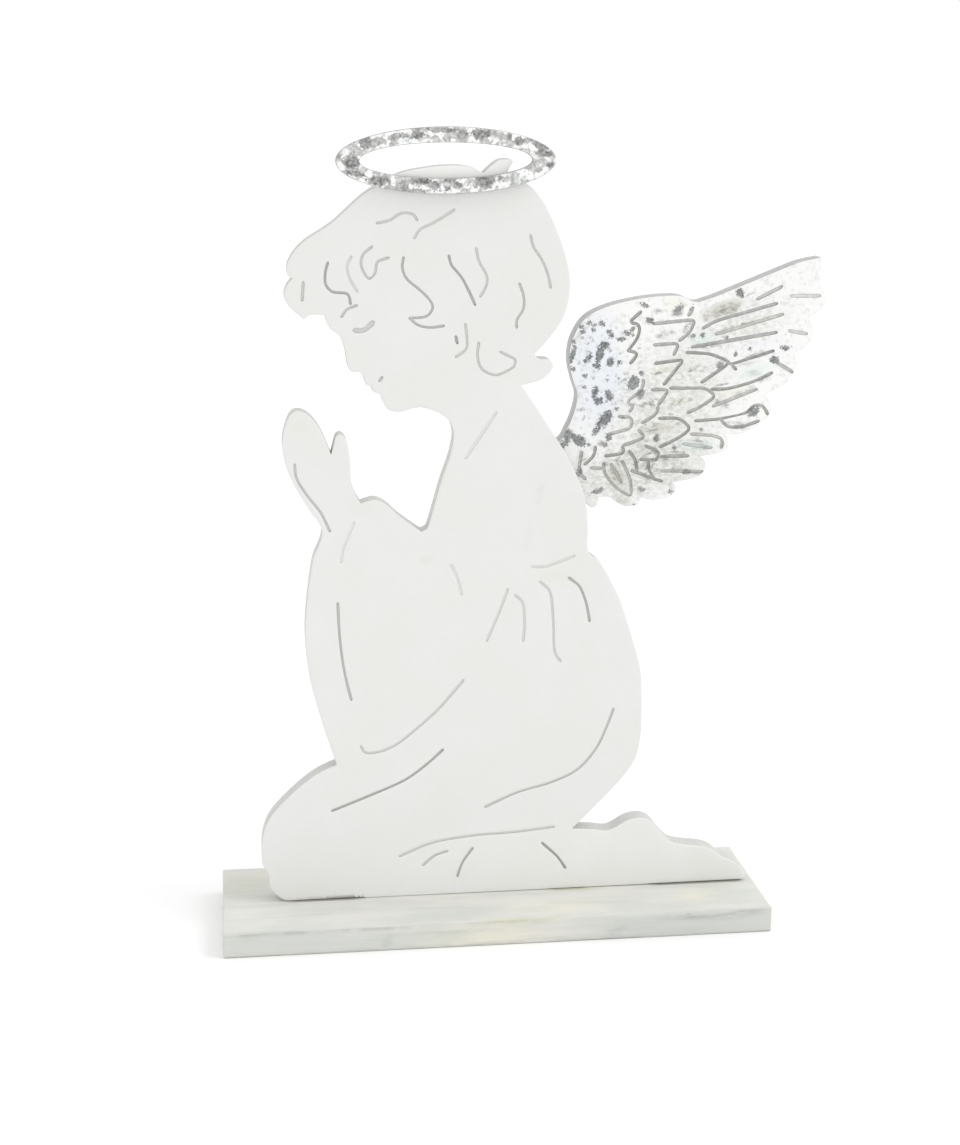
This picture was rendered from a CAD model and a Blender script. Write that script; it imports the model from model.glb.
"""Looks of a kneeling angel silhouette ornament: white-painted sawn board, a pearly wing and halo with silver
flakes, and a whitewashed plank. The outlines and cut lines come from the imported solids."""

import math

import bpy
import numpy as np
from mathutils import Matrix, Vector, noise
from mathutils.geometry import delaunay_2d_cdt


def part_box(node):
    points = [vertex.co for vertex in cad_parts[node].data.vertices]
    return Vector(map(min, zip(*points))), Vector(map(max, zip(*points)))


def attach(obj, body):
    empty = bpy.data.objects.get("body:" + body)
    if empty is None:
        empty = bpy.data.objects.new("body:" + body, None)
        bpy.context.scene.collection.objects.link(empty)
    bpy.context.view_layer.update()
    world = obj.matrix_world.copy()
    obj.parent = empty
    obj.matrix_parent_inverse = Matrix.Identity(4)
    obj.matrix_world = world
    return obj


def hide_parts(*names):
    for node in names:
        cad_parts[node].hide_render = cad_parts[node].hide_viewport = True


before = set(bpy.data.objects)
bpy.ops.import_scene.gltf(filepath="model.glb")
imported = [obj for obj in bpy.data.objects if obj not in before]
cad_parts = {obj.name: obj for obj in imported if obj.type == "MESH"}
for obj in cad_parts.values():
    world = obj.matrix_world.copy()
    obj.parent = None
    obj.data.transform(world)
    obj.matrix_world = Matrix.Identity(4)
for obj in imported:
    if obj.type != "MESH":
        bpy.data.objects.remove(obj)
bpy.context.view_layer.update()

MM = 0.001
# A board place (u, v) in millimetres is at x = u - MARK and z = v + PLANK_TOP.
MARK = 95.4
PLANK_TOP = 10.0
rng = np.random.default_rng(7)


# Camera: in metres and degrees, fitted to the plank's edges

CAMERA_PLACE = (-0.0954, -0.7579, 0.3313)
CAMERA_DOWN, CAMERA_RIGHT = 14.15, 6.84
SENSOR = 36.0
# The focal length in shares of the frame's height, both of them in pixels
FOCAL_SHARE = 2070.0 / 1145.0

camera_data = bpy.data.cameras.new("camera")
camera_data.sensor_width = SENSOR
camera_data.lens = FOCAL_SHARE * SENSOR
camera_data.clip_start = 0.05
camera_data.clip_end = 50.0
camera = bpy.data.objects.new("camera", camera_data)
camera.location = CAMERA_PLACE
camera.rotation_euler = (math.radians(90 - CAMERA_DOWN), 0.0, math.radians(-CAMERA_RIGHT))
bpy.context.scene.collection.objects.link(camera)
bpy.context.scene.camera = camera
bpy.context.scene.view_settings.view_transform = "Standard"


# Outlines from the solids

# Points of a solid closer than this, in metres, are one, and this far off a plane, in millimetres, is on it.
WELD = 2e-6
ON_PLANE = 0.02


def front_loops(node, y):
    """The loops that bound a solid's front plane, in board millimetres, with the material on their left."""
    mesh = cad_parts[node].data
    mesh.calc_loop_triangles()
    places, index, ids = [], {}, []
    for vertex in mesh.vertices:
        key = tuple(int(round(c / WELD)) for c in vertex.co)
        if key not in index:
            index[key] = len(places)
            places.append((vertex.co.x / MM + MARK, vertex.co.z / MM - PLANK_TOP, vertex.co.y / MM))
        ids.append(index[key])
    edges = set()
    for triangle in mesh.loop_triangles:
        corners = [ids[v] for v in triangle.vertices]
        if all(abs(places[c][2] - y) < ON_PLANE for c in corners) and len(set(corners)) == 3:
            edges.update((corners[k], corners[(k + 1) % 3]) for k in range(3))
    after = {}
    for a, b in edges:
        if (b, a) not in edges:
            after.setdefault(a, []).append(b)
    loops = []
    while after:
        start = next(iter(after))
        loop, here = [], start
        while here in after:
            loop.append(here)
            onward = after[here].pop()
            if not after[here]:
                del after[here]
            here = onward
        loops.append(np.array([places[i][:2] for i in loop]))
    loops.sort(key=lambda loop: -abs(area(loop)))
    return loops


def area(loop):
    x, y = loop[:, 0], loop[:, 1]
    return 0.5 * float(np.sum(x * np.roll(y, -1) - y * np.roll(x, -1)))


def refined(loop, corner_degrees, spacing):
    """Rounds a loop's facets with a smooth curve through its points. Sharper corners than a limit stay."""
    ahead = np.roll(loop, -1, 0) - loop
    length = np.linalg.norm(ahead, axis=1)
    onward = ahead / np.maximum(length, 1e-9)[:, None]
    before = np.roll(onward, 1, 0)
    shorter = np.minimum(length, np.roll(length, 1))
    sharp = np.sum(onward * before, 1) < math.cos(math.radians(corner_degrees))
    middle = onward + before
    middle /= np.maximum(np.linalg.norm(middle, axis=1), 1e-9)[:, None]
    out = []
    for i in range(len(loop)):
        j = (i + 1) % len(loop)
        leave = onward[i] if sharp[i] else middle[i]
        arrive = onward[i] if sharp[j] else middle[j]
        leave = leave * min(length[i], 2 * shorter[i])
        arrive = arrive * min(length[i], 2 * shorter[j])
        steps = max(1, math.ceil(length[i] / spacing))
        t = (np.arange(steps) / steps)[:, None]
        out.append(
            (2 * t**3 - 3 * t**2 + 1) * loop[i] + (t**3 - 2 * t**2 + t) * leave
            + (3 * t**2 - 2 * t**3) * loop[j] + (t**3 - t**2) * arrive
        )
    return np.concatenate(out)


# The least share that a sharp corner's inset is divided by, and how often folded stretches are closed
LEAST_SHARE = 0.4
UNFOLDS = 8


def inset(loop, distance):
    """Moves a loop into the material on its left."""
    along = np.roll(loop, -1, 0) - loop
    along /= np.maximum(np.linalg.norm(along, axis=1), 1e-9)[:, None]
    left = np.stack([-along[:, 1], along[:, 0]], 1)
    before = np.roll(left, 1, 0)
    share = np.maximum(1 + np.sum(left * before, 1), LEAST_SHARE)[:, None]
    moved = loop + distance * (left + before) / share
    for _ in range(UNFOLDS):
        edge = np.roll(moved, -1, 0) - moved
        back = np.nonzero(np.sum(edge * along, 1) < 0)[0]
        for i in back:
            j = (i + 1) % len(loop)
            moved[i] = moved[j] = (moved[i] + moved[j]) / 2
    return moved


# Meshes

# How far apart the rows of a honeycomb are, and how far a point is moved at random, in shares of its step
ROW_SPACING = 0.866
JITTER = 0.12


def hexagonal(low, high, step):
    """Points in staggered rows, as in a honeycomb."""
    rows = np.arange(low[1], high[1], step * ROW_SPACING)
    points = []
    for k, v in enumerate(rows):
        u = np.arange(low[0] + (k % 2) * step / 2, high[0], step)
        points.append(np.stack([u, np.full(len(u), v)], 1))
    return np.concatenate(points)


# Edges that turn more than this many degrees are shaded as sharp.
SHARP_EDGE = 40


class Shell:
    """One closed mesh put together from rings of points in board millimetres."""

    def __init__(self):
        self.points, self.cut, self.faces = [], [], []

    def add(self, points, y, cut=0.0):
        first = sum(len(p) for p in self.points)
        self.points.append(np.column_stack([points, np.full(len(points), y)]))
        self.cut.append(np.full(len(points), cut))
        return np.arange(first, first + len(points))

    def wall(self, front, back):
        for i in range(len(front)):
            j = (i + 1) % len(front)
            self.faces.append((front[i], back[i], back[j], front[j]))

    def fill(self, rings, places, y, step, faces_front, cut=0.0):
        """Fills the area inside the first ring and outside the others."""
        loops = [place if area(place) > 0 else place[::-1] for place in places]
        orders = [ring if area(place) > 0 else ring[::-1] for ring, place in zip(rings, places)]
        coords = np.concatenate(loops)
        ids = np.concatenate(orders)
        starts = np.cumsum([0] + [len(loop) for loop in loops])
        faces = [list(range(starts[k], starts[k + 1])) for k in range(len(loops))]
        if step:
            grid = hexagonal(coords.min(0), coords.max(0), step)
            grid = grid + rng.uniform(-JITTER, JITTER, grid.shape) * step
            coords = np.concatenate([coords, grid])
        made = delaunay_2d_cdt([Vector(c) for c in coords], [], faces, 0, 1e-7)
        corners, triangles, from_vertex, from_face = made[0], made[2], made[3], made[5]
        kept = [t for t, source in zip(triangles, from_face) if list(source) == [0]]
        new, number = [], {}
        base = sum(len(p) for p in self.points)
        for triangle in kept:
            for c in triangle:
                if c in number:
                    continue
                known = [o for o in from_vertex[c] if o < len(ids)]
                if known:
                    number[c] = int(ids[known[0]])
                else:
                    number[c] = base + len(new)
                    new.append((corners[c].x, corners[c].y))
        if new:
            self.add(np.array(new), y, cut)
        for triangle in kept:
            a, b, c = (number[k] for k in triangle)
            if len({a, b, c}) == 3:
                self.faces.append((a, b, c) if faces_front else (a, c, b))

    def object(self, name):
        board = np.concatenate(self.points)
        co = np.stack([board[:, 0] - MARK, board[:, 2], board[:, 1] + PLANK_TOP], 1) * MM
        mesh = bpy.data.meshes.new(name)
        mesh.from_pydata(co.tolist(), [], self.faces)
        mesh.attributes.new("cut", "FLOAT", "POINT").data.foreach_set(
            "value", np.concatenate(self.cut).astype(np.float32)
        )
        mesh.validate()
        mesh.polygons.foreach_set("use_smooth", [True] * len(mesh.polygons))
        mesh.set_sharp_from_angle(angle=math.radians(SHARP_EDGE))
        made = bpy.data.objects.new(name, mesh)
        bpy.context.scene.collection.objects.link(made)
        return made


# Degrees along an eased edge where it has a ring of points
LIP_STEPS = (0.0, 30.0, 60.0, 90.0)
# Sawn outlines and cut lines: the turn in degrees that is a true corner, and the spacing of the points
SAWN_CORNER, SAWN_SPACING = 48, 0.6
CUT_CORNER, CUT_SPACING = 100, 0.3
# A cut line is CUT_LIP plus CUT_BASE deep, and CUT_GAIN deeper and CUT_DARK greyer for each unit of strength.
CUT_LIP, CUT_BASE, CUT_GAIN, CUT_DARK = 0.15, 0.14, 0.35, 0.5
BACK_STEP = 6.0


def lip_rings(shell, loop, lip, face, inward):
    """Rings that round a loop's edge, from the face plane to the wall. inward is +1 behind a front face."""
    rings = []
    for degrees in LIP_STEPS:
        a = math.radians(degrees)
        places = inset(loop, lip * (1 - math.sin(a)))
        rings.append((shell.add(places, face + inward * lip * (1 - math.cos(a))), places))
    for (near, _), (far, _) in zip(rings, rings[1:]):
        if inward > 0:
            shell.wall(near, far)
        else:
            shell.wall(far, near)
    return rings


def sides(box):
    """Where a solid's front and back are along Y, in millimetres."""
    return box[0].y / MM, box[1].y / MM


def drawn_lines(lines, reach=math.inf, usual=0.0):
    """How boldly a cut line is drawn, from the nearest row (u, v, strength), or usual if none is in reach."""
    def strength_of(place):
        near = ((math.hypot(place[0] - u, place[1] - v), strength) for u, v, strength in lines)
        distance, strength = min(near)
        return strength if distance < reach else usual
    return strength_of


def board(name, node, box, lip, strength_of, step, through=0):
    """A sawn board with eased edges and cut lines. The first loops, 1 + through of them, go right through."""
    front, back = sides(box)
    loops = front_loops(node, front)
    shell = Shell()
    fronts, backs = [], []
    for k, raw in enumerate(loops):
        sawn = k <= through
        corner, spacing = (SAWN_CORNER, SAWN_SPACING) if sawn else (CUT_CORNER, CUT_SPACING)
        loop = refined(raw, corner, spacing)
        rings = lip_rings(shell, loop, lip if sawn else CUT_LIP, front, 1)
        fronts.append(rings[0])
        wall = rings[-1][0]
        if sawn:
            behind = lip_rings(shell, loop, lip, back, -1)
            shell.wall(wall, behind[-1][0])
            backs.append(behind[0])
        else:
            strength = strength_of(raw.mean(0))
            depth = CUT_LIP + CUT_BASE + CUT_GAIN * strength
            dark = CUT_DARK * strength
            floor = shell.add(loop, front + depth, dark)
            shell.wall(wall, floor)
            shell.fill([floor], [loop], front + depth, 0, True, dark)
    shell.fill([r for r, _ in fronts], [p for _, p in fronts], front, step, True)
    shell.fill([r for r, _ in backs], [p for _, p in backs], back, BACK_STEP, False)
    made = shell.object(name)
    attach(made, "root")
    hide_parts(node)
    return made


def board_places(obj):
    """Each vertex's place along the board, up it and through it, in millimetres."""
    co = np.empty(len(obj.data.vertices) * 3, np.float32)
    obj.data.vertices.foreach_get("co", co)
    co = co.reshape(-1, 3) / MM
    return co[:, 0] + MARK, co[:, 2] - PLANK_TOP, co[:, 1]


def oval(u, v, row):
    """0 in the middle of an oval and 1 at its edge. A row is (u, v, half length, half width, turn, ...)."""
    pu, pv, length, width, degrees = row[:5]
    a = math.radians(degrees)
    along = (u - pu) * math.cos(a) + (v - pv) * math.sin(a)
    aside = (v - pv) * math.cos(a) - (u - pu) * math.sin(a)
    return np.hypot(along / length, aside / width)


def patches(u, v, rows, soft=(0.5, 1.3)):
    """How strongly the strongest of some ovals covers each place. A row ends with its strength, and soft is
    from where to where it fades, in shares of the oval."""
    cover = np.zeros(len(u))
    for row in rows:
        t = np.clip((soft[1] - oval(u, v, row)) / (soft[1] - soft[0]), 0, 1)
        cover = np.maximum(cover, row[5] * t * t * (3 - 2 * t))
    return cover


# How wide a flake's ragged rim is, and a distance beyond every rim, in millimetres
FLAKE_RIM, FAR_OUT = 1.6, 9.0


def flakes(u, v, rows):
    """1 in the middle of some oval flakes, 0.5 at their edges and 0 well outside."""
    outside = np.full(len(u), FAR_OUT)
    for row in rows:
        outside = np.minimum(outside, (oval(u, v, row) - 1) * min(row[2], row[3]))
    return np.clip(0.5 - outside / FLAKE_RIM, 0, 1)


def blend(colors, u, v, tints, soft, where):
    """Lays soft oval tints, as (row, colour), over colours at the places that where marks."""
    for row, shade in tints:
        share = (patches(u, v, [row], soft) * where)[:, None]
        colors = colors * (1 - share) + share * linear(*shade)
    return colors


def put_float(obj, name, values):
    obj.data.attributes.new(name, "FLOAT", "POINT").data.foreach_set("value", values.astype(np.float32))


def put_color(obj, name, values):
    opaque = np.concatenate([values, np.ones((len(values), 1))], 1)
    data = obj.data.attributes.new(name, "FLOAT_COLOR", "POINT").data
    data.foreach_set("color", opaque.astype(np.float32).ravel())


def linear(*srgb):
    """Linear light from colour values of 0 to 255."""
    c = np.array(srgb) / 255.0
    return np.where(c <= 0.04045, c / 12.92, ((c + 0.055) / 1.055) ** 2.4)


# Materials

# Colours as a screen shows them, from 0 to 255
FACE_WHITE = (229, 230, 228)
FACE_WHITE_WARM = (227, 227, 224)
FACE_WHITE_DEEP = (223, 224, 221)
EDGE_GREY = (203, 204, 200)
EDGE_GREY_DEEP = (196, 197, 192)
CUT_GREY = (165, 166, 162)
CUT_GREY_WING = (156, 156, 151)
PEARL_GREY = (210, 210, 206)
SMEAR_GREY = (142, 143, 139)
# Light and dark silver of the wing's flakes, and of the halo's
WING_SILVER = (188, 190, 190), (96, 100, 101)
HALO_SILVER = (214, 214, 212), (106, 107, 106)
WING_EDGES = (182, 182, 182), (170, 170, 169)
HALO_EDGES = (184, 185, 184), (168, 169, 168)


class Graph:
    """A material's nodes, with short calls for the common ones."""

    def __init__(self, name):
        self.material = bpy.data.materials.new(name)
        self.material.use_nodes = True
        self.tree = self.material.node_tree
        self.tree.nodes.clear()
        output = self.tree.nodes.new("ShaderNodeOutputMaterial")
        self.shader = self.tree.nodes.new("ShaderNodeBsdfPrincipled")
        self.tree.links.new(self.shader.outputs["BSDF"], output.inputs["Surface"])
        self.coords = self.add("ShaderNodeTexCoord")
        self.place = self.coords.outputs["Object"]

    def add(self, kind, sockets=None, **settings):
        node = self.tree.nodes.new(kind)
        for key, value in settings.items():
            setattr(node, key, value)
        for key, value in (sockets or {}).items():
            self.put(node.inputs[key], value)
        return node

    def put(self, socket, value):
        if isinstance(value, bpy.types.NodeSocket):
            self.tree.links.new(value, socket)
        else:
            socket.default_value = value

    def math(self, operation, a, b=0.0, clamp=False):
        return self.add("ShaderNodeMath", {0: a, 1: b}, operation=operation, use_clamp=clamp).outputs[0]

    def mix(self, share, a, b, blend="MIX"):
        node = self.add("ShaderNodeMix", {0: share}, data_type="RGBA", blend_type=blend)
        self.put(node.inputs[6], a)
        self.put(node.inputs[7], b)
        return node.outputs[2]

    def step(self, value, low, high, to_low=0.0, to_high=1.0):
        sockets = {"Value": value, "From Min": low, "From Max": high, "To Min": to_low, "To Max": to_high}
        return self.add("ShaderNodeMapRange", sockets, interpolation_type="SMOOTHSTEP").outputs["Result"]

    def noise(self, size_mm, detail=2.0, rough=0.5, stretch=None, shift=0.0):
        place = self.place
        if stretch or shift:
            sockets = {"Vector": place, "Scale": stretch or (1, 1, 1), "Location": (shift, shift, shift)}
            place = self.add("ShaderNodeMapping", sockets).outputs["Vector"]
        sockets = {"Vector": place, "Scale": 1.0 / (size_mm * MM), "Detail": detail, "Roughness": rough}
        return self.add("ShaderNodeTexNoise", sockets).outputs["Fac"]

    def cells(self, size_mm, ragged=0.3, shift=0.0):
        """A random number for each cell of a pattern of broken, angular cells."""
        sockets = {"Vector": self.place, "Scale": 1.5 / (size_mm * MM), "Detail": 2.0}
        wobble = self.add("ShaderNodeTexNoise", sockets)
        push = self.add("ShaderNodeVectorMath", {0: wobble.outputs["Color"], 1: (shift, shift, shift)})
        push = self.add("ShaderNodeVectorMath", {0: push.outputs[0]}, operation="SCALE")
        push.inputs["Scale"].default_value = ragged * size_mm * MM
        moved = self.add("ShaderNodeVectorMath", {0: self.place, 1: push.outputs[0]})
        sockets = {"Vector": moved.outputs[0], "Scale": 1.0 / (size_mm * MM)}
        node = self.add("ShaderNodeTexVoronoi", sockets, feature="F1")
        return self.add("ShaderNodeSeparateXYZ", {0: node.outputs["Color"]}).outputs["X"]

    def attribute(self, name):
        return self.add("ShaderNodeAttribute", attribute_name=name)

    def side(self, low=0.35, high=0.85):
        """1 on a board's sawn edge, 0 on its front and back."""
        y = self.add("ShaderNodeSeparateXYZ", {0: self.coords.outputs["Normal"]}).outputs["Y"]
        return self.step(self.math("ABSOLUTE", y), low, high, 1.0, 0.0)

    def bump(self, height, distance_mm, strength=1.0, onto=None):
        sockets = {"Height": height, "Distance": distance_mm * MM, "Strength": strength}
        if onto is not None:
            sockets["Normal"] = onto
        return self.add("ShaderNodeBump", sockets).outputs["Normal"]

    def finish(self, color, rough, normal, **fixed):
        self.put(self.shader.inputs["Base Color"], color)
        self.put(self.shader.inputs["Roughness"], rough)
        self.put(self.shader.inputs["Normal"], normal)
        for key, value in fixed.items():
            self.put(self.shader.inputs[key.replace("_", " ").title().replace("Ior", "IOR")], value)
        return self.material


def rgba(*srgb):
    return (*linear(*srgb), 1.0)


def figure_paint():
    g = Graph("satin_white_paint")
    blotch = g.step(g.noise(28, 3, 0.55), 0.35, 0.65)
    speck = g.noise(2.2, 4, 0.6, shift=3.0)
    color = g.mix(blotch, rgba(*FACE_WHITE), rgba(*FACE_WHITE_WARM))
    color = g.mix(g.step(speck, 0.2, 0.8, 0.0, 0.25), color, rgba(*FACE_WHITE_DEEP))
    tint = g.attribute("tint")
    color = g.mix(1.0, color, tint.outputs["Color"], "MULTIPLY")
    fibre = g.noise(0.9, 3, 0.6, stretch=(1, 0.25, 1), shift=9.0)
    edge = g.mix(g.step(fibre, 0.3, 0.7), rgba(*EDGE_GREY), rgba(*EDGE_GREY_DEEP))
    color = g.mix(g.side(), color, edge)
    color = g.mix(g.attribute("cut").outputs["Fac"], color, rgba(*CUT_GREY))
    peel = g.noise(1.4, 2, 0.5, shift=1.0)
    wave = g.noise(9, 1, 0.5, shift=5.0)
    normal = g.bump(peel, 0.03, 0.5, g.bump(wave, 0.1, 0.35))
    rough = g.step(g.noise(3, 3, 0.5, shift=7.0), 0.3, 0.7, 0.42, 0.56)
    return g.finish(color, rough, normal, specular_ior_level=0.35)


def foil_paint(name, size, ragged, soft, silver, edges):
    """Pearly paint with broken silver leaf. On the mesh, foil marks the flakes, sprinkle says how much of a
    place loose bits cover, smear says how strongly it is rubbed grey, and shade says how dark the leaf is."""
    g = Graph(name)
    ground = g.attribute("ground").outputs["Color"]
    cloud = g.noise(1.8, 4, 0.6, shift=2.0)
    color = g.mix(g.step(cloud, 0.5, 0.7, 0.0, 0.6), ground, rgba(*PEARL_GREY))
    rubbed = g.step(g.noise(1.5, 5, 0.7, stretch=(0.6, 1, 1), shift=5.0), 0.38, 0.62, 0.1, 1.3)
    smear = g.math("MULTIPLY", g.attribute("smear").outputs["Fac"], rubbed, clamp=True)
    color = g.mix(smear, color, rgba(*SMEAR_GREY))
    torn = g.math("MULTIPLY", g.math("SUBTRACT", g.cells(0.55, 0.4, shift=8.0), 0.5), 0.45)
    fray = g.math("MULTIPLY", g.math("SUBTRACT", g.noise(0.9, 3, 0.6, shift=3.0), 0.5), 0.9)
    body = g.math("ADD", g.attribute("foil").outputs["Fac"], g.math("ADD", torn, fray))
    large = g.step(body, 0.5 - soft, 0.5 + soft)
    pattern = g.mix(ragged, g.cells(size, 0.4, shift=4.0), g.noise(size, 5, 0.65, shift=4.0))
    density = g.math("SUBTRACT", g.attribute("sprinkle").outputs["Fac"], pattern)
    flake = g.math("MAXIMUM", large, g.step(density, -soft / 2, soft))
    crinkle = g.noise(0.5, 3, 0.65, shift=6.0)
    tone = g.step(g.noise(1.1, 4, 0.65, shift=12.0), 0.36, 0.64)
    shine = g.math("ADD", g.math("MULTIPLY", tone, 0.9), g.math("MULTIPLY", crinkle, 0.3))
    dark = g.math("SUBTRACT", g.attribute("shade").outputs["Fac"], g.math("MULTIPLY", shine, 0.6), clamp=True)
    leaf = g.mix(dark, rgba(*silver[0]), rgba(*silver[1]))
    color = g.mix(flake, color, leaf)
    worn = g.step(g.noise(2.5, 3, 0.6, shift=15.0), 0.3, 0.6, 0.6, 1.0)
    color = g.mix(g.math("MULTIPLY", g.attribute("cut").outputs["Fac"], worn), color, rgba(*CUT_GREY_WING))
    fibre = g.noise(0.9, 3, 0.6, stretch=(1, 0.25, 1), shift=9.0)
    edge = g.mix(g.step(fibre, 0.3, 0.7), rgba(*edges[0]), rgba(*edges[1]))
    color = g.mix(g.side(0.6, 0.98), color, edge)
    rough = g.math("ADD", g.math("MULTIPLY", flake, -0.1), 0.45)
    height = g.math("ADD", flake, g.math("MULTIPLY", g.math("MULTIPLY", crinkle, flake), 0.8))
    normal = g.bump(g.noise(1.8, 2, 0.5), 0.05, 0.5, g.bump(height, 0.04, 0.7))
    g.put(g.shader.inputs["Metallic"], g.math("MULTIPLY", flake, 0.4))
    return g.finish(color, rough, normal, specular_ior_level=0.5)


# The figure

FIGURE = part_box("angel_figure")
FIGURE_FRONT = sides(FIGURE)[0]
# Points less than this far behind a front plane, in millimetres, belong to its front.
FRONT_BAND = 1.5

# How boldly each cut line is drawn, beside a place near its middle: (u, v, strength)
FIGURE_LINES = [
    (122, 50, 0.65), (85, 22, 0.5), (58, 66, 0.45), (60, 50, 1.1), (68, 232, 0.9), (38, 100, 0.85),
    (118, 110, 0.4), (97, 210, 0.55), (27, 161, 0.65), (51, 246, 0.6), (97, 113, 0.25), (38, 239, 1.1),
    (113, 247, 0.55), (82, 242, 1.1), (91, 182, 0.1), (129, 120, 1.0), (106, 114, 0.3), (91, 242, 0.5),
    (72, 260, 0.45), (105, 230, 0.75), (117, 133, 0.15), (62, 263, 0.5), (40, 142, 0.0), (120, 14, 1.35),
    (84, 217, 0.5), (43, 243, 0.25), (84, 13, 0.95), (81, 127, 0.1), (73, 16, 0.65), (26, 237, 0.6),
    (82, 218, 1.2),
]
# The face's own lines, the brow, the closed eye and the mouth's corner, are all drawn alike.
FACE_LINES = [(42, 230, 0.7), (48, 223, 0.7), (54, 204, 0.7)]

strength_of = drawn_lines(FIGURE_LINES + FACE_LINES)
figure = board("angel_body", "angel_figure", FIGURE, 0.4, strength_of, 1.8)

# The glue line under the figure is open only along these stretches: (from, to, how far its sole is raised).
OPEN_JOINT = [(14, 45, 0.45), (117, 134, 0.25), (158, 197, 0.55)]
# How high above the solid's underside the sole stands, how high up it counts as sole, and how far back
SOLE_REST, SOLE_TOP, SOLE_DEPTH = 0.04, 0.35, 1
u, v, y = board_places(figure)
sole = (v < SOLE_TOP) & (y < FIGURE_FRONT + SOLE_DEPTH)
lift = np.full(len(u), SOLE_REST)
for start, end, height in OPEN_JOINT:
    lift = np.where((u > start) & (u < end), height, lift)
z = np.where(sole, np.maximum(lift, v), np.maximum(v, SOLE_REST))
co = np.stack([u - MARK, y, z + PLANK_TOP], 1) * MM
figure.data.vertices.foreach_set("co", co.astype(np.float32).ravel())
figure.data.update()

# Tints over the white: faint stains, the softly sunk line of the sleeve's back, and paler feet and crown
FIGURE_TINTS = [
    ((23.8, 187.1, 3.6, 2.5, 0, 1.0), (0.985, 0.985, 0.955)),
    ((45.4, 157.1, 4.7, 3.6, 0, 1.0), (0.99, 0.99, 0.96)),
    ((70.0, 135.3, 2.9, 1.8, 0, 1.0), (0.97, 0.97, 0.93)),
    ((119.0, 127.0, 9.0, 3.0, -10, 1.0), (0.985, 0.985, 0.955)),
    ((102.0, 205.0, 8.0, 3.0, 0, 1.0), (0.985, 0.985, 0.96)),
    ((113.0, 160.0, 5.0, 1.1, 75, 1.0), (0.955, 0.955, 0.955)),
    ((109.0, 144.0, 7.5, 1.1, 78, 1.0), (0.965, 0.965, 0.965)),
    ((120.0, 6.0, 95.0, 22.0, 0, 1.0), (1.04, 1.04, 1.035)),
    ((80.0, 284.0, 44.0, 12.5, 0, 1.0), (1.18, 1.18, 1.18)),
]
tint = np.ones((len(u), 3))
for row, stain in FIGURE_TINTS:
    share = (patches(u, v, [row]) * (y < FIGURE_FRONT + FRONT_BAND))[:, None]
    tint *= 1 - share * (1 - np.array(stain))
put_color(figure, "tint", tint)
figure.data.materials.append(figure_paint())


# The wing

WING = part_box("wing_plate")
WING_FRONT = sides(WING)[0]

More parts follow.
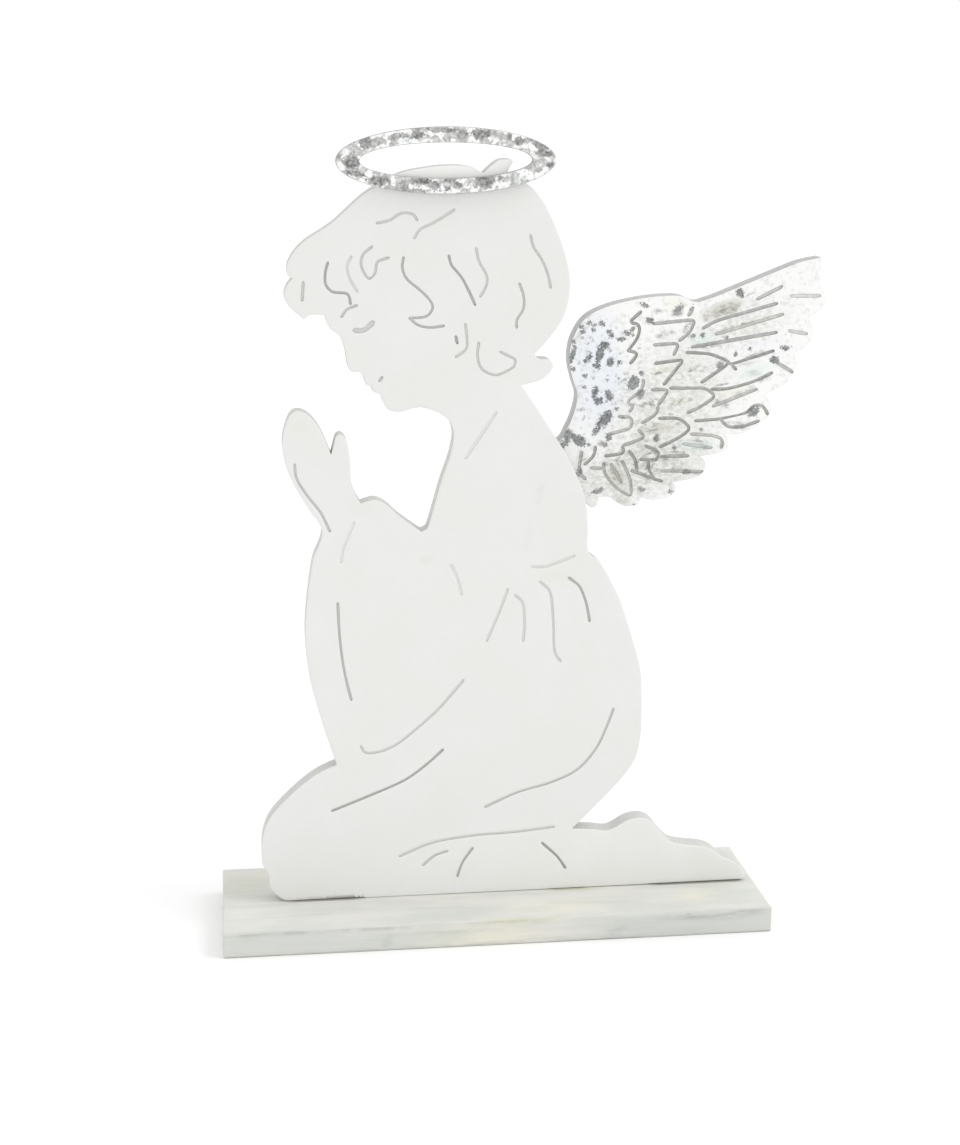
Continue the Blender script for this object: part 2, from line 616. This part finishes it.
# Silver flakes, as (u, v, half length, half width, turn, cover). Those that cover less than BOLD are smears.
BOLD = 0.8
WING_FLAKES = [
    (153.6, 229.0, 1.8, 0.8, -30, 0.90), (137.3, 222.4, 1.5, 0.9, -45, 0.90),
    (134.1, 220.0, 0.9, 0.8, 0, 0.80), (130.0, 219.4, 1.1, 0.8, 0, 0.80),
    (132.9, 217.2, 0.8, 0.6, 0, 0.70), (140.2, 218.3, 0.8, 0.8, 0, 0.70),
    (147.4, 218.5, 2.1, 0.9, -20, 0.90), (144.9, 216.4, 1.4, 0.8, 0, 0.85),
    (126.3, 210.7, 3.3, 0.9, 75, 0.95), (132.7, 210.0, 1.2, 0.9, 0, 0.90),
    (136.8, 211.2, 3.9, 1.5, 75, 0.95), (138.6, 214.3, 1.8, 1.4, 0, 0.80),
    (140.6, 208.0, 1.8, 1.1, 60, 0.80), (143.5, 206.3, 0.8, 0.6, 0, 0.70),
    (135.0, 204.9, 1.8, 1.5, 0, 0.45), (131.2, 202.8, 1.1, 0.8, 0, 0.80),
    (135.1, 196.4, 2.4, 1.2, 80, 0.95), (135.8, 192.9, 1.2, 1.1, 0, 0.95),
    (140.5, 195.3, 2.4, 1.4, -60, 0.85), (139.7, 187.1, 2.7, 1.8, 60, 0.90),
    (136.8, 184.3, 1.8, 1.1, 70, 0.90), (140.4, 179.1, 1.5, 0.9, -60, 0.90),
    (135.0, 180.8, 1.5, 0.8, 40, 0.60), (138.6, 176.9, 1.8, 0.9, 0, 0.50),
    (128.9, 178.4, 3.6, 1.5, -35, 1.00), (124.8, 181.0, 1.8, 1.2, 60, 0.80),
    (123.8, 177.2, 1.8, 1.2, 0, 0.80), (149.7, 199.6, 2.7, 2.1, 60, 0.80),
    (152.2, 204.0, 0.9, 0.6, 0, 0.70), (151.7, 212.8, 0.9, 0.6, 0, 0.60),
    (155.6, 223.1, 1.8, 1.2, -40, 0.90), (158.7, 227.1, 0.9, 0.6, 0, 0.70),
    (166.3, 227.3, 2.4, 1.2, 40, 0.80), (171.1, 226.6, 1.8, 0.6, 70, 0.80),
    (161.3, 226.4, 1.8, 0.9, 0, 0.50), (172.3, 217.2, 0.9, 0.8, 0, 0.80),
    (175.8, 217.4, 0.9, 0.9, 0, 0.95), (189.8, 233.2, 1.8, 1.5, -60, 0.90),
    (176.6, 225.6, 2.7, 0.9, 80, 0.55), (184.8, 227.4, 7.9, 1.5, 20, 0.50),
    (185.2, 216.4, 0.6, 0.6, 0, 0.80), (194.3, 212.0, 0.8, 0.7, 0, 0.90),
    (188.8, 210.0, 0.8, 0.8, 0, 0.90), (208.2, 212.0, 1.7, 0.8, 10, 0.95),
    (203.8, 207.5, 1.8, 1.4, 0, 0.95), (199.2, 199.9, 1.8, 1.1, 30, 0.60),
    (183.5, 207.2, 2.7, 1.5, 50, 0.60), (174.6, 205.2, 4.9, 1.2, 5, 0.50),
    (161.5, 217.7, 3.9, 1.2, 20, 0.45), (160.5, 203.8, 3.6, 1.2, 15, 0.45),
    (169.1, 192.9, 4.5, 1.2, 15, 0.50), (155.6, 191.8, 3.9, 1.5, 20, 0.75),
    (152.6, 195.7, 1.5, 1.2, 0, 0.80), (164.4, 187.8, 1.5, 1.2, 0, 0.60),
    (158.8, 178.3, 1.2, 1.2, 0, 0.95), (166.0, 174.6, 0.9, 0.9, 0, 0.95),
    (165.7, 184.3, 1.8, 0.9, 0, 0.50), (175.8, 181.2, 1.5, 0.8, 0, 0.60),
    (184.4, 175.2, 1.2, 0.9, 0, 0.70), (196.4, 187.8, 2.4, 1.8, 30, 0.85),
    (190.1, 182.2, 4.2, 1.2, -10, 0.75), (181.4, 191.3, 1.8, 1.2, 0, 0.50),
    (155.5, 167.4, 1.8, 2.7, 0, 0.60), (150.9, 166.9, 2.1, 1.5, 0, 0.55),
    (158.6, 172.5, 2.4, 2.1, 0, 0.45), (171.1, 165.5, 1.1, 0.8, 0, 0.80),
    (136.3, 158.2, 1.8, 0.9, 0, 0.80), (139.4, 160.7, 1.5, 0.9, 0, 0.70),
    (129.7, 166.1, 1.8, 0.8, 70, 0.70), (153.4, 158.4, 1.2, 0.9, 0, 0.70),
    (165.1, 157.5, 1.2, 0.8, 60, 0.50), (151.2, 152.9, 0.8, 0.5, 0, 0.80),
    (139, 186, 2.6, 2.0, 50, 1.0), (136, 182, 2.0, 1.0, 45, 0.9), (124.5, 180, 1.3, 2.1, 20, 0.9),
    (129.5, 178, 2.3, 2.1, -40, 1.0), (123, 176.5, 1.1, 1.5, 0, 0.8), (159, 178.5, 1.2, 1.3, 0, 1.0),
    (129.5, 166, 1.0, 1.8, 0, 0.9), (141, 179, 0.9, 1.3, 0, 0.9), (171, 165, 1.7, 1.0, 0, 0.8),
    (208, 212, 1.9, 1.0, 0, 0.9), (204, 207.5, 1.8, 1.7, 0, 1.0), (183, 206, 1.6, 1.0, 50, 0.8),
    (126.5, 205.5, 1.0, 0.8, 0, 0.8), (127, 214, 0.9, 0.8, 0, 0.8), (136, 206.5, 1.4, 1.0, 80, 1.0),
    (131.5, 208.5, 1.1, 0.9, 0, 0.9), (150, 201, 1.6, 1.8, 60, 0.9),
    (129.4, 221.3, 0.9, 0.8, 0, 0.9), (132.6, 222.8, 0.9, 0.8, 30, 0.9), (134.5, 221.9, 0.8, 0.7, 0, 0.8),
    (141.1, 217.8, 1.2, 0.9, 20, 0.9), (140.2, 219.2, 0.9, 0.8, 0, 0.8), (149.0, 220.1, 1.1, 0.8, 45, 0.9),
    (144.1, 207.7, 0.9, 0.9, 0, 0.9), (126.6, 215.7, 0.8, 0.8, 0, 0.8), (140.8, 207.6, 1.4, 1.2, 40, 1.0),
    (138.0, 214.4, 1.6, 1.3, 60, 1.0), (134.9, 206.8, 0.9, 0.8, 0, 0.9), (136.9, 193.3, 1.4, 1.2, 0, 1.0),
    (135.2, 180.8, 1.0, 0.8, 0, 0.9), (140.6, 178.7, 1.2, 1.0, 20, 1.0), (139.2, 176.2, 1.0, 0.8, 0, 0.9),
    (132.8, 176.3, 0.9, 0.8, 0, 0.8), (128.4, 165.1, 0.9, 0.8, 0, 0.9), (151.4, 168.6, 1.2, 0.9, 70, 0.9),
    (152.8, 203.3, 0.9, 0.8, 0, 0.9), (153.9, 158.4, 1.1, 0.9, 0, 0.8), (164.7, 157.7, 0.9, 0.8, 60, 0.8),
    (131.0, 198.4, 0.8, 0.7, 0, 0.8), (143.5, 190.0, 0.8, 0.7, 0, 0.8), (146.0, 186.5, 0.9, 0.7, 30, 0.8),
]
# Faint tints and broad washes over the pearly ground
BLUE, BEIGE, KHAKI = (233, 236, 241), (240, 239, 230), (212, 211, 200)
GREEN, LILAC, GREY = (228, 237, 233), (240, 238, 242), (226, 225, 220)
WING_TINTS = [
    ((135.6, 204.3, 27.3, 12.7, 90, 1.0), BLUE), ((165.0, 229.5, 6.1, 3.0, 0, 0.8), BEIGE),
    ((183.6, 227.1, 10.0, 3.4, 18, 0.9), KHAKI), ((175.5, 216.2, 6.7, 3.3, 0, 0.9), GREEN),
    ((192.1, 220.7, 12.7, 2.1, 14, 0.9), BEIGE), ((195.9, 203.2, 8.5, 3.6, 15, 0.8), GREEN),
    ((187.7, 195.7, 7.9, 2.7, 20, 0.9), BEIGE), ((159.7, 182.2, 7.9, 2.7, 5, 0.8), KHAKI),
    ((175.3, 175.4, 7.9, 2.7, -5, 0.9), GREEN), ((143.9, 163.8, 5.5, 3.6, -60, 0.9), KHAKI),
    ((168.4, 192.9, 6.1, 2.1, 10, 0.8), BEIGE), ((161.1, 205.1, 7.0, 2.1, 15, 0.8), BEIGE),
    ((146.0, 154.7, 4.9, 2.4, -30, 0.9), GREY), ((200.0, 212.0, 12.0, 5.0, 10, 0.7), LILAC),
]
WING_WASHES = [
    ((166, 188, 32, 20, 60, 0.5), (232, 232, 228)), ((160, 168, 26, 12, 15, 0.5), (224, 224, 219)),
]

# Places rubbed grey between the flakes
WING_SMEARS = [
    (185, 226, 7.0, 1.9, 15, 0.6), (177, 225, 1.6, 3.8, 0, 0.5), (188, 220, 7.0, 1.4, 8, 0.4),
    (166, 226, 2.5, 1.8, 0, 0.7), (158.5, 226.5, 2.5, 1.1, 0, 0.5), (170, 220.5, 3.2, 1.4, 62, 0.7),
    (161.5, 218, 5.1, 1.6, 20, 0.5), (177.5, 213, 5.7, 0.9, 5, 0.7), (174.5, 204.5, 5.7, 1.4, 3, 0.5),
    (183, 206, 2.9, 1.9, 50, 0.7), (160, 204, 4.5, 1.3, 20, 0.45), (184.5, 216.5, 1.9, 1.0, 0, 0.6),
    (200, 200.5, 2.9, 1.1, 30, 0.7), (182.5, 196.5, 3.2, 1.0, 0, 0.6), (192, 195.5, 5.1, 1.1, 15, 0.45),
    (198, 209.5, 4.5, 1.3, 25, 0.45), (193, 206.5, 5.1, 1.0, 10, 0.35), (196, 202.5, 3.2, 1.6, 0, 0.35),
    (171.5, 217, 2.2, 1.4, 0, 0.5), (165.5, 191, 3.8, 1.8, 20, 0.5), (156.5, 191.5, 3.5, 1.6, 0, 0.8),
    (150.5, 191.5, 1.9, 1.3, 0, 0.6), (158.5, 182, 5.1, 1.0, 0, 0.4), (166, 184.5, 3.8, 1.4, -20, 0.5),
    (159, 174, 3.8, 2.2, 30, 0.55), (157, 167.5, 4.8, 3.8, 20, 0.75), (144.5, 170.5, 3.8, 1.1, 0, 0.5),
    (142.5, 166, 4.5, 1.3, -60, 0.6), (130, 171.5, 1.6, 3.8, 0, 0.4), (137, 158.5, 2.7, 1.4, 0, 0.6),
    (153, 159, 1.4, 1.6, 0, 0.7), (165.5, 158, 1.4, 1.1, 0, 0.6), (146, 154.5, 2.9, 1.8, 0, 0.4),
    (167, 171.5, 5.1, 0.8, 0, 0.4), (175, 164.5, 2.5, 0.8, 0, 0.6), (177.5, 176, 3.8, 1.0, -5, 0.45),
    (138, 176.5, 2.2, 1.1, 0, 0.4), (137.5, 160, 2.9, 1.0, 20, 0.45), (152, 182, 3.0, 6.0, 10, 0.4),
    (190, 183, 5.5, 1.6, -5, 0.5), (196, 187.5, 2.8, 1.6, 30, 0.6), (147, 197, 2.2, 3.5, 0, 0.4),
    (152, 207, 1.2, 5.0, -10, 0.35), (123.5, 196, 1.0, 9.0, 5, 0.35), (130, 219.5, 5.0, 1.0, 50, 0.35),
    (162, 190, 34, 24, 55, 0.24), (153, 168, 28, 15, 15, 0.36), (190, 221, 22, 10, 15, 0.22),
    (153, 195, 2.5, 2.9, 0, 0.9), (157.5, 192.5, 2.9, 1.8, 20, 0.8), (152, 191, 1.6, 0.9, 0, 1),
    (169, 192.5, 5.4, 1.3, 10, 0.6), (166, 185, 1.8, 1.8, 0, 0.7), (156.5, 183.5, 3.2, 0.9, -5, 0.6),
    (158.5, 173.5, 2.2, 1.7, -30, 0.95), (156, 167.5, 2.0, 2.9, 0, 0.95), (162, 170.5, 4.5, 1.5, 10, 0.7),
    (169.5, 172, 1.9, 0.8, 0, 0.9), (166.5, 166.5, 5.1, 0.8, -5, 0.7), (171.5, 165, 2.2, 1.1, 0, 1),
    (176.5, 165, 1.6, 0.8, 10, 0.8), (184.5, 176, 1.1, 1.1, 0, 1), (176, 181.5, 1.1, 0.8, 0, 0.9),
    (145.5, 171, 1.3, 1.9, 0, 0.9), (137.5, 159, 2.5, 1.4, 20, 1), (139.5, 168.5, 1.6, 1.6, 0, 0.8),
    (135, 162, 1.0, 0.7, 0, 0.8), (139, 187, 3.1, 2.7, 50, 0.6), (125.5, 180.5, 2.5, 2.3, 0, 0.7),
    (137.5, 177, 1.9, 1.3, 10, 0.7), (165, 160, 0.9, 2.3, 20, 0.5), (155, 161, 1.0, 0.8, 0, 0.8),
    (181.5, 192, 2.5, 1.8, 0, 0.6), (185.5, 190.5, 1.9, 1.3, 0, 0.6),
]
# Thin broken lines rubbed along the feathers
WING_SCRATCHES = [
    (185, 227, 6.3, 0.4, 15, 0.9), (184, 228.5, 4.0, 0.4, 18, 0.8), (189, 221, 7.5, 0.4, 14, 0.8),
    (192.5, 232, 4.0, 0.4, 25, 0.8), (161.5, 218, 4.5, 0.4, 17, 0.9), (173.5, 204.5, 5.0, 0.4, 18, 0.9),
    (159.5, 203.5, 4.0, 0.4, 20, 0.9), (184, 198.5, 3.6, 0.4, 10, 0.9), (193.5, 196.5, 3.5, 0.4, 25, 0.9),
    (196.5, 210, 5.0, 0.4, 20, 0.7), (157.5, 184, 4.5, 0.4, 5, 0.8), (157.5, 181.5, 4.5, 0.4, 8, 0.8),
    (144, 172.5, 3.2, 0.4, 0, 0.9), (144, 169.5, 2.5, 0.4, -60, 0.9), (166.5, 173, 5.0, 0.4, 0, 0.8),
    (166.5, 168.5, 5.0, 0.4, -5, 0.8), (175, 177, 5.0, 0.4, -5, 0.9), (175, 174, 5.0, 0.4, -3, 0.7),
    (156.5, 176.5, 3.0, 0.4, -30, 0.9), (156.5, 172.5, 3.0, 0.4, 20, 0.9), (160, 170.5, 3.0, 0.4, 0, 0.9),
    (131.5, 171, 2.5, 0.4, 30, 0.9), (155, 163.5, 3.0, 0.4, -40, 0.9), (143, 163, 3.5, 0.4, -60, 0.8),
]

# How boldly the feather lines are drawn, as for the figure. A line with no row near it gets WING_LINE.
WING_LINE, WING_LINE_REACH = 1.2, 1.5
WING_LINES = [
    (215, 232, 0.5), (213, 218, 0.7), (194, 221, 0.8), (175, 175, 0.65), (143, 163.5, 1.0), (168, 165, 0.85),
    (201, 233, 1.0), (189, 193, 0.9), (150, 194, 0.95), (181, 178, 0.95), (147, 184, 1.0), (130, 167.5, 0.9),
    (144, 165.5, 0.9), (171, 226, 1.0), (150, 217, 1.6), (184, 207, 1.5), (165, 206, 1.5), (167, 182, 1.5),
    (144, 173, 1.5), (134, 172, 1.4), (191, 199, 1.4), (192, 186, 1.35), (156, 169, 1.35),
]


WING_GROUND = (243, 243, 241)
# The shoulder and the middle of the wing, where loose bits lie
SHOULDER = (136, 203, 27, 13, 90, 1.0)
MIDDLE = (160, 190, 36, 26, 60, 1.0)
# How large the drifts of loose bits are, in millimetres
DRIFT = 6

strength_of = drawn_lines(WING_LINES, WING_LINE_REACH, WING_LINE)
wing = board("wing_board", "wing_plate", WING, 0.35, strength_of, 0.45)
u, v, y = board_places(wing)
on_front = y < WING_FRONT + FRONT_BAND
shoulder = patches(u, v, [SHOULDER], (0.6, 1.1))
middle_part = patches(u, v, [MIDDLE], (0.7, 1.1))
drift = np.array([noise.noise(Vector((a / DRIFT, b / DRIFT, 3.0))) for a, b in zip(u, v)])
loose = 0.07 * shoulder + 0.15 * np.clip(drift, 0, 1) * middle_part
bold = [row for row in WING_FLAKES if row[5] >= BOLD]
faint = WING_SMEARS + WING_SCRATCHES + [row for row in WING_FLAKES if row[5] < BOLD]
put_float(wing, "foil", flakes(u, v, bold) * on_front)
put_float(wing, "shade", 0.45 + 0.1 * shoulder + 0.55 * patches(u, v, bold, (1.0, 1.7)))
put_float(wing, "sprinkle", (0.005 + loose) * on_front)
put_float(wing, "smear", patches(u, v, faint, (0.3, 1.3)) * on_front)
ground = np.tile(linear(*WING_GROUND), (len(u), 1))
put_color(wing, "ground", blend(ground, u, v, WING_WASHES + WING_TINTS, (0.4, 1.2), on_front))
wing.data.materials.append(foil_paint("pearl_and_foil_wing", 1.1, 0.0, 0.12, WING_SILVER, WING_EDGES))


# The halo

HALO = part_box("halo_ring")
HALO_FRONT = sides(HALO)[0]
HALO_BAND = 1.0
HALO_GROUND = (246, 246, 246)
HALO_FLAKES = [
    (49.0, 289.7, 2.3, 2.3, 0, 0.90), (54.1, 290.2, 2.1, 1.3, 0, 0.50), (62.7, 292.1, 3.1, 0.8, 0, 0.50),
    (67.3, 292.3, 2.1, 1.3, 0, 0.90), (77.5, 293.9, 5.7, 0.8, 0, 0.75), (83.8, 292.5, 1.8, 1.8, 0, 0.70),
    (90.2, 292.5, 3.4, 1.8, 0, 0.90), (100.5, 291.4, 1.3, 1.3, 0, 0.60),
    (104.1, 289.9, 1.6, 1.6, 0, 0.85), (111.8, 288.6, 3.9, 1.6, -30, 0.80),
    (112.8, 285.6, 3.1, 1.3, -10, 0.90), (115.5, 281.3, 1.3, 1.0, 0, 0.80),
    (44.1, 282.8, 2.8, 2.1, 0, 0.95), (39.1, 285.0, 1.3, 1.3, 0, 0.40),
    (45.8, 278.5, 4.0, 1.0, -15, 0.70), (53.4, 276.3, 4.0, 1.8, 0, 0.85),
    (62.6, 274.4, 1.6, 1.6, 0, 0.50), (69.2, 276.1, 3.4, 1.3, 0, 0.90), (73.8, 274.4, 1.3, 1.6, 0, 0.75),
    (79.7, 276.6, 2.6, 1.0, 0, 0.85), (78.4, 273.1, 1.0, 1.0, 0, 0.80), (81.7, 274.5, 1.8, 1.3, 0, 0.60),
    (91.8, 276.0, 3.6, 2.3, 0, 0.95), (97.2, 276.9, 1.0, 1.3, 0, 0.65), (69.8, 294.5, 3.1, 0.5, 0, 0.60),
    (58.7, 291.1, 1.6, 1.0, 0, 0.50), (96.9, 294.4, 5.2, 0.4, 0, 0.50), (66.6, 272.6, 7.8, 0.5, 0, 0.50),
]
HALO_TINTS = [
    ((109.8, 282.4, 5.7, 3.1, 0, 0.9), (236, 242, 240)), ((104.1, 276.4, 4.2, 1.6, 0, 0.9), (230, 240, 235)),
    ((76.4, 275.6, 3.1, 2.3, 0, 0.9), (242, 240, 248)), ((96.4, 291.9, 3.1, 2.1, 0, 0.9), (242, 242, 233)),
    ((62.2, 290.6, 4.2, 1.0, 0, 0.9), (232, 239, 238)),
]

# Both its loops go right through, so no line is cut into it.
halo = board("halo_board", "halo_ring", HALO, 0.5, None, 0.45, through=1)
u, v, y = board_places(halo)
on_front = y < HALO_FRONT + HALO_BAND
put_float(halo, "foil", flakes(u, v, HALO_FLAKES) * on_front)
put_float(halo, "shade", 0.6 + 0.55 * patches(u, v, HALO_FLAKES, (0.7, 1.5)))
put_float(halo, "sprinkle", np.where(on_front, 0.53, 0.4))
ground = np.tile(linear(*HALO_GROUND), (len(u), 1))
put_color(halo, "ground", blend(ground, u, v, HALO_TINTS, (0.4, 1.2), on_front))
halo.data.materials.append(foil_paint("pearl_and_foil_halo", 1.9, 0.6, 0.08, HALO_SILVER, HALO_EDGES))


# The plank

PLANK_LOW, PLANK_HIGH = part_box("base_plank")
half = np.array((PLANK_HIGH - PLANK_LOW) / 2) / MM
middle = np.array((PLANK_HIGH + PLANK_LOW) / 2) / MM

# How far in from its edges the plank is eased, and the spacing of its grid lines along X, Y and Z
EASE = 0.9
PLANK_STEPS = 2.0, 2.0, 1.3
# How far the right end is out of square
SKEW = 1.5
# A dark glue line on the plank's top, in front of the figure: how far it reaches towards the front
JOINT = 1.1
# How round the edges are worn, on average and give or take, and how far the sides lie within the solid's
WEAR, WEAR_VARIES = 0.55, 0.3
SUNK = 0.06


def plank_lines(reach, step):
    """Grid lines across one side of the plank, close together near its eased edges."""
    flat = reach - EASE
    rounding = flat + EASE * np.sin(np.radians([0, 22, 45, 68, 90]))
    count = max(2, round(2 * flat / step))
    inner = np.linspace(-flat, flat, count + 1)[1:-1]
    return np.concatenate([-rounding[::-1], inner, rounding])


def plank_grid():
    """The points and faces of a box with the plank's grid lines on its six sides."""
    lines = [plank_lines(reach, step) for reach, step in zip(half, PLANK_STEPS)]
    joint = FIGURE_FRONT - middle[1] + np.array([-JOINT - 0.3, -JOINT, 0.2, 0.5])
    lines[1] = np.sort(np.concatenate([lines[1], joint]))
    points, index, faces = [], {}, []
    for axis in range(3):
        b, c = (axis + 1) % 3, (axis + 2) % 3
        for sign in (-1, 1):
            ids = np.empty((len(lines[b]), len(lines[c])), int)
            for i, p in enumerate(lines[b]):
                for j, q in enumerate(lines[c]):
                    place = [0.0, 0.0, 0.0]
                    place[axis], place[b], place[c] = sign * half[axis], p, q
                    key = tuple(round(value, 4) for value in place)
                    if key not in index:
                        index[key] = len(points)
                        points.append(place)
                    ids[i, j] = index[key]
            for i in range(len(lines[b]) - 1):
                for j in range(len(lines[c]) - 1):
                    quad = (ids[i, j], ids[i + 1, j], ids[i + 1, j + 1], ids[i, j + 1])
                    faces.append(quad if sign > 0 else quad[::-1])
    return np.array(points), faces


def plank_mesh():
    """The plank, with unevenly worn edges, slightly rippled sides and a right end out of square."""
    co, faces = plank_grid()
    wear = np.array([WEAR + WEAR_VARIES * noise.noise(Vector(p) / 9.0) for p in co])
    core = np.clip(co, -(half - wear[:, None]), half - wear[:, None])
    away = co - core
    length = np.maximum(np.linalg.norm(away, axis=1), 1e-9)[:, None]
    corner = np.sum(np.abs(away) > 1e-6, 1) > 1
    eased = np.where(corner[:, None], core + away / length * wear[:, None], co)
    ripple = np.array([noise.noise(Vector((p[0] / 30, p[1] / 12, p[2] / 6 + 9))) for p in co])
    eased -= np.sign(co) * (np.abs(co) > half - 1e-6) * (SUNK + SUNK * ripple)[:, None]
    eased[:, 2] = np.maximum(eased[:, 2], -half[2])
    eased[:, 0] -= SKEW * (eased[:, 0] / half[0] + 1) / 2 * (eased[:, 1] / half[1] + 1) / 2
    mesh = bpy.data.meshes.new("plank_board")
    mesh.from_pydata(((eased + middle) * MM).tolist(), [], faces)
    mesh.polygons.foreach_set("use_smooth", [True] * len(mesh.polygons))
    made = bpy.data.objects.new("plank_board", mesh)
    bpy.context.scene.collection.objects.link(made)
    return made


WASHED_GROUND = (219, 218, 213)
WASHED_CLOUD = (205, 208, 202)
WASHED_BRUSH = (193, 196, 190)
GRAIN_GREY = (186, 186, 176)
STAIN_GREY = (178, 181, 177)
JOINT_GREY = (160, 157, 147)


def whitewash():
    g = Graph("whitewash")
    ground = g.attribute("ground").outputs["Color"]
    brushed = g.noise(5, 5, 0.6, stretch=(0.08, 1, 1), shift=2.0)
    cloud = g.noise(14, 3, 0.55, stretch=(0.35, 1, 1), shift=5.0)
    color = g.mix(g.step(cloud, 0.4, 0.68, 0.0, 0.8), ground, rgba(*WASHED_CLOUD))
    color = g.mix(g.step(brushed, 0.52, 0.72, 0.0, 0.42), color, rgba(*WASHED_BRUSH))
    grain = g.noise(1.1, 4, 0.6, stretch=(0.05, 1, 1), shift=7.0)
    color = g.mix(g.step(grain, 0.55, 0.8, 0.0, 0.35), color, rgba(*GRAIN_GREY))
    stain = g.attribute("stain").outputs["Fac"]
    rag = g.math("MULTIPLY", stain, g.step(g.noise(1.6, 4, 0.6, stretch=(0.25, 1, 1)), 0.3, 0.6))
    color = g.mix(rag, color, rgba(*STAIN_GREY))
    color = g.mix(g.attribute("joint").outputs["Fac"], color, rgba(*JOINT_GREY))
    normal = g.bump(grain, 0.12, 0.5, g.bump(brushed, 0.25, 0.4))
    rough = g.step(cloud, 0.3, 0.7, 0.62, 0.75)
    return g.finish(color, rough, normal, specular_ior_level=0.3)


plank = plank_mesh()
u, v, y = board_places(plank)
FRONT_DEPTH = 1.2
front = y < -half[1] + FRONT_DEPTH
CREAM, OCHRE, COOL, SHADY = (227, 224, 209), (214, 211, 184), (205, 207, 203), (209, 209, 199)
# Broad tints on the plank's front, placed along and up it
FRONT_TINTS = [
    ((15, -5.0, 45, 9.0, 0, 0.7), COOL), ((175, -5.0, 45, 9.0, 0, 1.0), COOL),
    ((85, -6.0, 30, 7.0, 0, 1.0), CREAM), ((104, 0.0, 18, 1.5, 0, 0.9), OCHRE),
]
# Broad tints on its top, placed along and across it
TOP_TINTS = [
    ((-2, 14.0, 16, 17.0, 0, 1.0), SHADY), ((120, -20.0, 26, 9.0, 0, 0.6), CREAM),
    ((127, -5.0, 13, 1.6, 0, 1.0), OCHRE), ((176, -17.0, 11, 8.0, 0, 0.9), CREAM),
]
ground = np.tile(linear(*WASHED_GROUND), (len(u), 1))
ground = blend(ground, u, v, FRONT_TINTS, (0.3, 1.2), front)
put_color(plank, "ground", blend(ground, u, y, TOP_TINTS, (0.3, 1.2), ~front))
# Narrow grey stains on the front, as for the flakes: (u, v, half length, half width, turn, cover)
STAINS = [
    (176, -2.6, 24, 1.3, 0, 0.9), (168, -2.2, 0.9, 1.7, 0, 1.0), (140, -6.0, 6, 2.0, 0, 0.4),
    (52, -6.0, 5, 2.5, 60, 0.4), (15, -1.2, 16, 1.0, 0, 0.8), (45, -0.8, 18, 0.7, 0, 0.7),
    (192, -1.2, 9, 1.0, 0, 0.8), (95, -0.6, 22, 0.5, 0, 0.5),
    (0, -1.4, 8, 0.9, 0, 0.9), (139, -7.2, 4, 1.6, 30, 0.6), (95, -9.5, 130, 0.7, 0, 0.4),
    (70, -3.4, 26, 0.8, 0, 0.35), (120, -7.4, 30, 0.6, 0, 0.25),
]
put_float(plank, "stain", np.where(front, patches(u, v, STAINS, (0.4, 1.2)), 0.0))
# The open glue line is dark on the plank's top, and the foot of its front is a little dark.
JOINT_FADE, JOINT_GAIN = 4, 1.7
FOOT_TOP, FOOT_DARK = -9.3, 0.25
near = (y > FIGURE_FRONT - JOINT - 0.1) & (y < FIGURE_FRONT + 0.3) & (v > -0.5)
joint = np.zeros(len(u))
for start, end, height in OPEN_JOINT:
    inside = np.clip(np.minimum(u - start, end - u) / JOINT_FADE, 0, 1)
    joint = np.maximum(joint, near * inside * min(1.0, JOINT_GAIN * height))
joint = np.maximum(joint, FOOT_DARK * (front & (v < FOOT_TOP)))
put_float(plank, "joint", joint)
plank.data.materials.append(whitewash())
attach(plank, "root")
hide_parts("base_plank")


# Studio

# The floor's sides and front and rear edges, in metres
FLOOR_SIDE, FLOOR_FRONT, FLOOR_REAR = 6, -3, 9
FLOOR_WHITE = (248, 248, 248)
SUN_WIDTH, SUN_STRENGTH = 30, 0.8
TOWARDS_SUN = (0.9, -0.2, 0.95)

floor_mesh = bpy.data.meshes.new("floor")
corners = [
    (-FLOOR_SIDE, FLOOR_FRONT, 0), (FLOOR_SIDE, FLOOR_FRONT, 0),
    (FLOOR_SIDE, FLOOR_REAR, 0), (-FLOOR_SIDE, FLOOR_REAR, 0),
]
floor_mesh.from_pydata(corners, [], [(0, 1, 2, 3)])
floor = bpy.data.objects.new("floor", floor_mesh)
bpy.context.scene.collection.objects.link(floor)
pale = Graph("pale_floor")
rough_floor = pale.bump(pale.noise(2.0), 0.01, 0.1)
floor.data.materials.append(pale.finish(rgba(*FLOOR_WHITE), 0.9, rough_floor, specular_ior_level=0.1))

world = bpy.data.worlds.new("studio")
world.use_nodes = True
world.node_tree.nodes["Background"].inputs["Color"].default_value = (1, 1, 1, 1)
world.node_tree.nodes["Background"].inputs["Strength"].default_value = 1.0
bpy.context.scene.world = world

# A broad soft key from the right and a little in front throws the figure's shadow along the plank.
key_data = bpy.data.lights.new("key", "SUN")
key_data.angle = math.radians(SUN_WIDTH)
key_data.energy = SUN_STRENGTH
key = bpy.data.objects.new("key", key_data)
key.rotation_euler = Vector(TOWARDS_SUN).to_track_quat("Z", "Y").to_euler()
bpy.context.scene.collection.objects.link(key)
